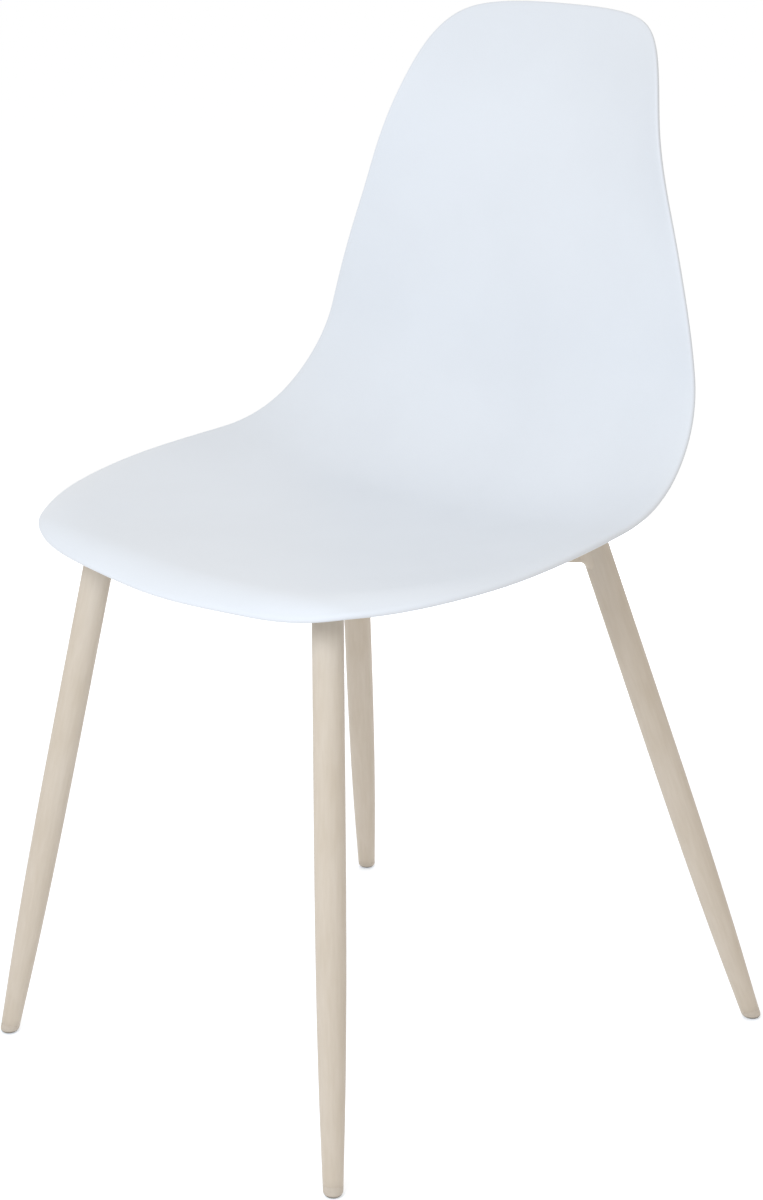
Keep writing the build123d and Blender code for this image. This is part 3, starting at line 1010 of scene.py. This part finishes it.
class CHAIR_OT_cross_frame(bpy.types.Operator):
    """Coats the rails and lays the welds where they cross and where they meet the legs"""

    bl_idname = "chair.cross_frame"
    bl_label = "Cross Frame"

    def execute(self, context):
        settings = context.scene.chair_frame
        self.coat_rails(settings)
        coating = wood_coating("bead_coating", settings, (0, 0, 0))
        new_piece(self.crossing_welds(settings, coating), "frame_coating")
        forms = [stacked(self.leg_weld(settings, leg), "joined") for leg in LEGS]
        new_piece(mesh_from("leg_welds", forms, coating), "frame_coating")
        return {"FINISHED"}

    def coat_rails(self, settings):
        """Coats each rail with grain that runs along it."""
        for name, leg in (
            ("long_rail", "rear_left"),
            ("front_left_half_rail", "front_left"),
            ("rear_right_half_rail", "rear_right"),
        ):
            way = rail_way(leg)
            turn = (0, math.radians(90), math.atan2(way.y, way.x))
            coat([name], wood_coating(f"{name}_coating", settings, turn))

    def crossing_welds(self, settings, coating):
        """Mesh of the weld beads at the crossing."""
        points = [point for line in self.bead_lines() for point in line]
        base = line_mesh("bead_lines", points, [(i, i + 1) for i in range(0, len(points), 2)])
        values = {"Width": settings.bead_width, "Pitch": settings.bead_pitch, "Material": coating}
        return bead_tree().run("crossing_welds", base, values)

    def bead_lines(self):
        """Upright lines in the corners where a half rail meets the side of the long rail."""
        middle = crossing()
        side = UP.cross(rail_way("rear_left"))
        half = RAIL_WIDTH / 2
        flat = RAIL_HEIGHT / 2 - 1.5 * MM
        for leg in ("front_left", "rear_right"):
            ahead = rail_way(leg)
            face = side if side.dot(ahead) > 0 else -side
            across = UP.cross(ahead)
            for edge in (-half, half):
                reach = (half - across.dot(face) * edge) / ahead.dot(face)
                corner = middle + ahead * reach + across * edge
                yield [corner - UP * flat, corner + UP * flat]

    def rail_outline(self):
        """Points round a rail's section, across and up it, each with its direction outwards."""
        signs = ((1, 1), (-1, 1), (-1, -1), (1, -1))
        across, up = RAIL_WIDTH / 2 - RAIL_CORNER, RAIL_HEIGHT / 2 - RAIL_CORNER
        corners = [Vector((x * across, z * up)) for x, z in signs]
        corner_steps, flat_steps = 6, 7
        outline = []
        for i, corner in enumerate(corners):
            for step in range(corner_steps + 1):
                angle = math.radians(90 * (i + step / corner_steps))
                out = Vector((math.cos(angle), math.sin(angle)))
                outline.append((corner + out * RAIL_CORNER, out))
            for step in range(1, flat_steps):
                place = corner.lerp(corners[(i + 1) % 4], step / flat_steps)
                outline.append((place + out * RAIL_CORNER, out))
        return outline

    def leg_weld(self, settings, leg):
        """Rings of the smooth weld round a rail's end, which closes inside the tubes' walls."""
        foot, axis = leg_axis(leg)
        start = crossing()
        ahead = rail_way(leg)
        across = UP.cross(ahead)
        square = ahead - axis * ahead.dot(axis)
        turns = [math.radians(angle) for angle in range(0, 91, 10)]
        steps = [(1 - math.sin(turn), 1 - math.cos(turn)) for turn in turns]
        root = -0.2
        steps += [(root, 1.0), (root, root), (1.0, root)]
        rings = []
        for back, out in steps:
            one = []
            for place, way in self.rail_outline():
                side = place.x + way.x * settings.weld_side * out
                height = place.y + way.y * settings.weld_rise * out
                point = start + across * side + UP * height
                apart = point - foot
                apart -= axis * apart.dot(axis)
                lead = apart.dot(square) / square.length_squared
                gap = (apart.length_squared - (settings.leg_diameter / 2) ** 2) / square.length_squared
                reach = -lead - math.sqrt(lead**2 - gap)
                one.append(point + ahead * (reach - settings.weld_rise * back))
            rings.append(one)
        return rings


class CHAIR_OT_plugs(bpy.types.Operator):
    """Moulds the glides under the legs, and finishes the caps on top of them"""

    bl_idname = "chair.plugs"
    bl_label = "Glides and Caps"

    def execute(self, context):
        settings = context.scene.chair_frame
        material = plug_plastic("plug_plastic", settings.plug)
        coat([f"{leg}_leg_cap" for leg in LEGS], material)
        forms = [stacked(self.glide_rings(settings, leg)) for leg in LEGS]
        mesh = mesh_from("foot_glides", forms, material)
        new_piece(mesh, "glide_plastic", *(f"{leg}_glide" for leg in LEGS))
        return {"FINISHED"}

    def glide_rings(self, settings, leg):
        """Rings of a glide, level with the floor below and square to its leg above."""
        foot, axis = leg_axis(leg)
        across = axis.cross(UP).normalized()
        over = axis.cross(across)
        angles = [math.tau * i / GLIDE_SIDES for i in range(GLIDE_SIDES)]
        ways = [across * math.cos(angle) + over * math.sin(angle) for angle in angles]
        rings = []
        for angle in range(90, -1, -10):
            turn = math.radians(angle)
            lift = settings.glide_round * (1 - math.sin(turn))
            radius = leg_radius(settings, lift) - settings.glide_round * (1 - math.cos(turn))
            level = [lift - radius * way.z / axis.z for way in ways]
            rings.append([foot + axis * height + way * radius for height, way in zip(level, ways)])
        top = settings.glide_height
        radius = leg_radius(settings, top)
        soft = END_SOFTENING
        for height, inset in ((top - 0.3 * MM, 0), (top - soft, 0), (top, soft), (top, 1 * MM)):
            rings.append([foot + axis * height + way * (radius - inset) for way in ways])
        return rings


class CHAIR_OT_fasteners(bpy.types.Operator):
    """Sets the four screws, and finishes their washers and inserts"""

    bl_idname = "chair.fasteners"
    bl_label = "Screws, Washers and Inserts"

    def execute(self, context):
        settings = context.scene.chair_frame
        steel = turned_metal("zinc_steel", settings.steel, linear(150, 152, 158), 0.34)
        brass = turned_metal("turned_brass", settings.brass, linear(170, 138, 76), 0.30)
        coat([f"{leg}_washer" for leg in LEGS], steel)
        coat([f"{leg}_insert" for leg in LEGS], brass)
        part = new_object("one_screw", mesh_from("one_screw", [stacked(self.screw_rings())], steel))
        base = line_mesh("screw_points", screw_points(WASHER_BOTTOM))
        mesh = set_out_tree().run("seat_screws", base, {"Part": part, "Material": steel})
        bpy.data.objects.remove(part)
        new_piece(mesh, "fastener_steel", *(f"{leg}_screw" for leg in LEGS))
        return {"FINISHED"}

    def screw_rings(self):
        """Rings of a button head screw, from the tip of its shank to the floor of its socket."""
        shank, tip = 3.0 * MM, 24.0 * MM
        head, height = 5.5 * MM, 3.5 * MM
        crown, brim = 3.0 * MM, 0.7 * MM
        socket, depth = 2.0 * MM, 2.0 * MM
        bevel, lead_in = 0.6 * MM, 0.15 * MM
        profile = [
            (shank - bevel, tip),
            (shank, tip - bevel),
            (shank, 0.4 * MM),
            (shank + 0.3 * MM, 0),
            (head - 0.2 * MM, 0),
            (head, -0.25 * MM),
            (head, -brim),
        ]
        for angle in (20, 40, 55, 68, 80):
            turn = math.radians(angle)
            fall = (height - brim) * math.sin(turn)
            profile.append((crown + (head - crown) * math.cos(turn), -brim - fall))
        profile.append((2.9 * MM, -height))
        hexagon = ((socket + lead_in, -height), (socket, lead_in - height), (socket, depth - height))
        rings = [ring(*place, SCREW_SIDES) for place in profile]
        return rings + [ring(*place, SCREW_SIDES, 6) for place in hexagon]


class CHAIR_PT_sidebar(bpy.types.Panel):
    """Lists the chair's pieces and their settings"""

    bl_idname = "CHAIR_PT_sidebar"
    bl_label = "Dining Chair"
    bl_space_type = "VIEW_3D"
    bl_region_type = "UI"
    bl_category = "Dining Chair"

    def draw(self, context):
        layout = self.layout
        for operator in OPERATORS:
            layout.operator(operator.bl_idname)
        for group in ("chair_shell", "chair_frame", "chair_stage"):
            settings = getattr(context.scene, group)
            box = layout.box()
            for name in settings.__annotations__:
                box.prop(settings, name)


SETTINGS = {"chair_shell": ShellSettings, "chair_frame": FrameSettings, "chair_stage": StageSettings}
OPERATORS = (
    CHAIR_OT_stage,
    CHAIR_OT_seat_shell,
    CHAIR_OT_bosses,
    CHAIR_OT_legs,
    CHAIR_OT_cross_frame,
    CHAIR_OT_plugs,
    CHAIR_OT_fasteners,
)
CLASSES = (*SETTINGS.values(), *OPERATORS, CHAIR_PT_sidebar)


def register():
    for group in CLASSES:
        bpy.utils.register_class(group)
    for name, group in SETTINGS.items():
        setattr(bpy.types.Scene, name, PointerProperty(type=group))


def unregister():
    for name in SETTINGS:
        delattr(bpy.types.Scene, name)
    for group in reversed(CLASSES):
        bpy.utils.unregister_class(group)


def main():
    register()
    bpy.ops.chair.stage()
    bpy.ops.chair.seat_shell()
    bpy.ops.chair.bosses()
    bpy.ops.chair.legs()
    bpy.ops.chair.cross_frame()
    bpy.ops.chair.plugs()
    bpy.ops.chair.fasteners()
    bpy.context.view_layer.update()


if __name__ == "__main__":
    main()
